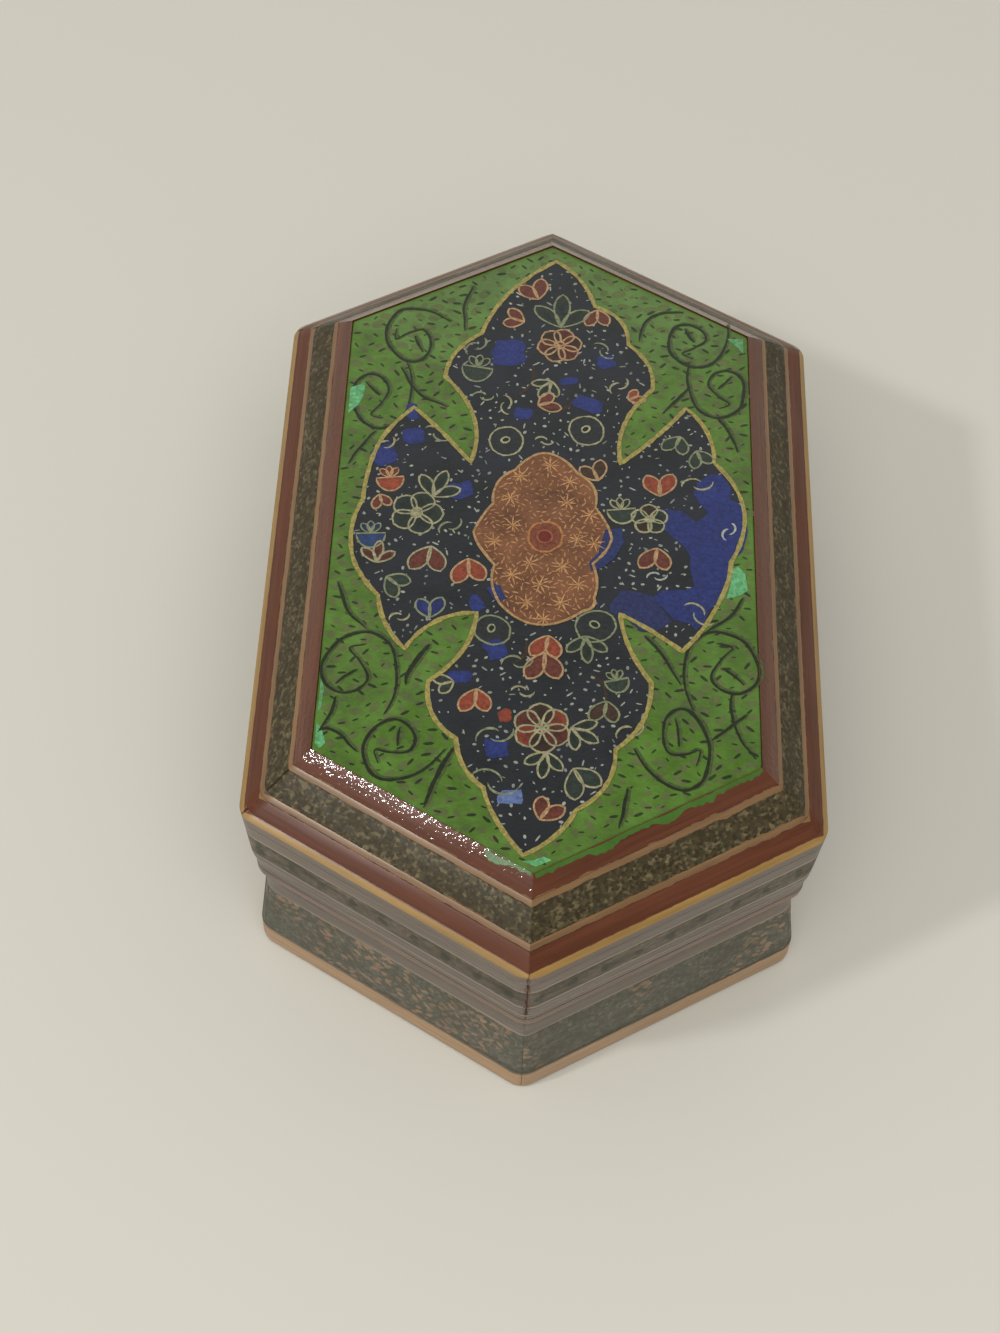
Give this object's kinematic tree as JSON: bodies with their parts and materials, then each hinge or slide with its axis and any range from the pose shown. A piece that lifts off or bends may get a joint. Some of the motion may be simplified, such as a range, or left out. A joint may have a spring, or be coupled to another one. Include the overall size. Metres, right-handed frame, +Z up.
{
  "type": "hexagonal trinket box",
  "caption": "Elongated hexagonal wooden box with a hinged lid, inlaid bands, a framed painted lid panel and a velvet-lined inside.",
  "frame": {"origin": "middle of the underside, on the surface the box stands on", "axes": "+Z up, Y along the two long sides between the pointed ends, +X from the hinged side to the side that opens"},
  "size_m": [0.1, 0.1662, 0.058],
  "materials": {
    "board_wood": "lacquered grey-brown wood",
    "base_wood": "plain wood",
    "body_inlay": "lacquered grey-green inlay with tan figures",
    "lid_inlay": "lacquered dark inlay with stars",
    "foot_wood": "lacquered light wood",
    "light_line": "inlaid light line",
    "frame_line": "inlaid tan line",
    "frame_inlay": "lacquered dark inlay with light specks",
    "red_wood": "lacquered red-brown wood",
    "yellow_wood": "lacquered yellow wood",
    "painting": "painted and lacquered panel",
    "velvet": "velvet",
    "brass": "small cast hinge brass"
  },
  "bodies": {
    "body": {"base_board": "base_wood", "body_board_far_left": "board_wood", "body_board_far_right": "board_wood", "body_board_left": "board_wood", "body_board_near_left": "board_wood", "body_board_near_right": "board_wood", "body_board_right": "board_wood", "body_hinge_nails": "brass", "body_inlay_far_left": "body_inlay", "body_inlay_far_right": "body_inlay", "body_inlay_left": "body_inlay", "body_inlay_near_left": "body_inlay", "body_inlay_near_right": "body_inlay", "body_inlay_right": "body_inlay", "body_lip_line": "light_line", "far_hinge_body_leaf": "brass", "far_hinge_pin": "brass", "floor_pad": "velvet", "foot_strip_far_left": "foot_wood", "foot_strip_far_right": "foot_wood", "foot_strip_left": "foot_wood", "foot_strip_near_left": "foot_wood", "foot_strip_near_right": "foot_wood", "foot_strip_right": "foot_wood", "near_hinge_body_leaf": "brass", "near_hinge_pin": "brass", "waist_line": "light_line", "wall_lining": "velvet"},
    "lid": {"far_hinge_lid_leaf": "brass", "frame_inlay": "frame_inlay", "inner_frame_line": "frame_line", "inner_red_band": "red_wood", "lid_board_far_left": "board_wood", "lid_board_far_right": "board_wood", "lid_board_left": "board_wood", "lid_board_near_left": "board_wood", "lid_board_near_right": "board_wood", "lid_board_right": "board_wood", "lid_hinge_nails": "brass", "lid_inlay_far_left": "lid_inlay", "lid_inlay_far_right": "lid_inlay", "lid_inlay_left": "lid_inlay", "lid_inlay_near_left": "lid_inlay", "lid_inlay_near_right": "lid_inlay", "lid_inlay_right": "lid_inlay", "lid_lining": "velvet", "lid_lip_line": "light_line", "near_hinge_lid_leaf": "brass", "outer_frame_line": "frame_line", "outer_red_band": "red_wood", "painted_panel": "painting", "panel_board": "base_wood", "slope_board_far_left": "board_wood", "slope_board_far_right": "board_wood", "slope_board_left": "board_wood", "slope_board_near_left": "board_wood", "slope_board_near_right": "board_wood", "slope_board_right": "board_wood", "star_lines": "light_line", "yellow_edge": "yellow_wood"}
  },
  "joints": [
    {"name": "lid_hinge", "type": "hinge", "parent": "body", "child": "lid", "pos_m": [-0.04885, 0, 0.028], "axis": [0, -1, 0], "range_deg": [0, 100]}
  ]
}
